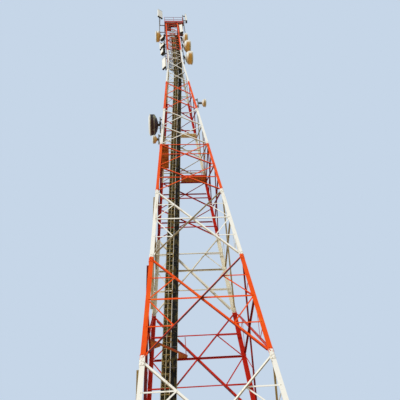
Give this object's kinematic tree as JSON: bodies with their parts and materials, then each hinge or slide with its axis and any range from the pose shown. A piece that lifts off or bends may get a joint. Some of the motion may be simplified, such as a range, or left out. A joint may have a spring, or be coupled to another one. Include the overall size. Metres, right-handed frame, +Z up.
{
  "type": "scale model of a four-legged lattice cell tower, 1:2",
  "caption": "Tapered four-legged lattice tower in red and white bands, with ladder, cable run, platforms, panel antennas and dishes.",
  "frame": {"origin": "tower axis, in the plane of the four base plates' undersides", "axes": "+Z up along the tower axis, -Y out of the near face, +X to the right seen from the near face"},
  "size_m": [3.07, 3.07, 27.15],
  "materials": {
    "cable_jacket": "black polyethylene jacket",
    "galvanised_steel": "hot dip galvanised, dull",
    "radio_housing": "light grey powder coat",
    "radome": "light grey-white moulded plastic",
    "red_paint": "gloss paint, weathered",
    "white_paint": "cream white gloss paint, weathered"
  },
  "bodies": {
    "root": {"antenna_arms": "galvanised_steel", "antenna_poles": "galvanised_steel", "base_plates": "galvanised_steel", "cable_tray": "galvanised_steel", "climbing_ladder": "galvanised_steel", "dish_large": "radome", "dish_left_low": "radome", "dish_left_top": "radome", "dish_mounts": "galvanised_steel", "dish_right_low": "radome", "dish_right_lower": "radome", "dish_right_middle": "radome", "dish_right_top": "radome", "face_far_red": "red_paint", "face_far_white": "white_paint", "face_left_red": "red_paint", "face_left_white": "white_paint", "face_near_red": "red_paint", "face_near_white": "white_paint", "face_right_red": "red_paint", "face_right_white": "white_paint", "feeder_cables": "cable_jacket", "ladder_supports": "galvanised_steel", "leg_far_left_red": "red_paint", "leg_far_left_white": "white_paint", "leg_far_right_red": "red_paint", "leg_far_right_white": "white_paint", "leg_near_left_red": "red_paint", "leg_near_left_white": "white_paint", "leg_near_right_red": "red_paint", "leg_near_right_white": "white_paint", "panel_antennas": "radome", "panel_clamps": "galvanised_steel", "radio_units": "radio_housing", "rear_feeder_cables": "cable_jacket", "rest_landing": "red_paint", "top_platform_deck": "red_paint", "top_platform_frame": "red_paint", "top_platform_railing": "red_paint", "upper_walkway": "white_paint", "work_platform_far_walk": "red_paint", "work_platform_left_walk": "red_paint", "work_platform_rails": "red_paint"}
  },
  "joints": []
}
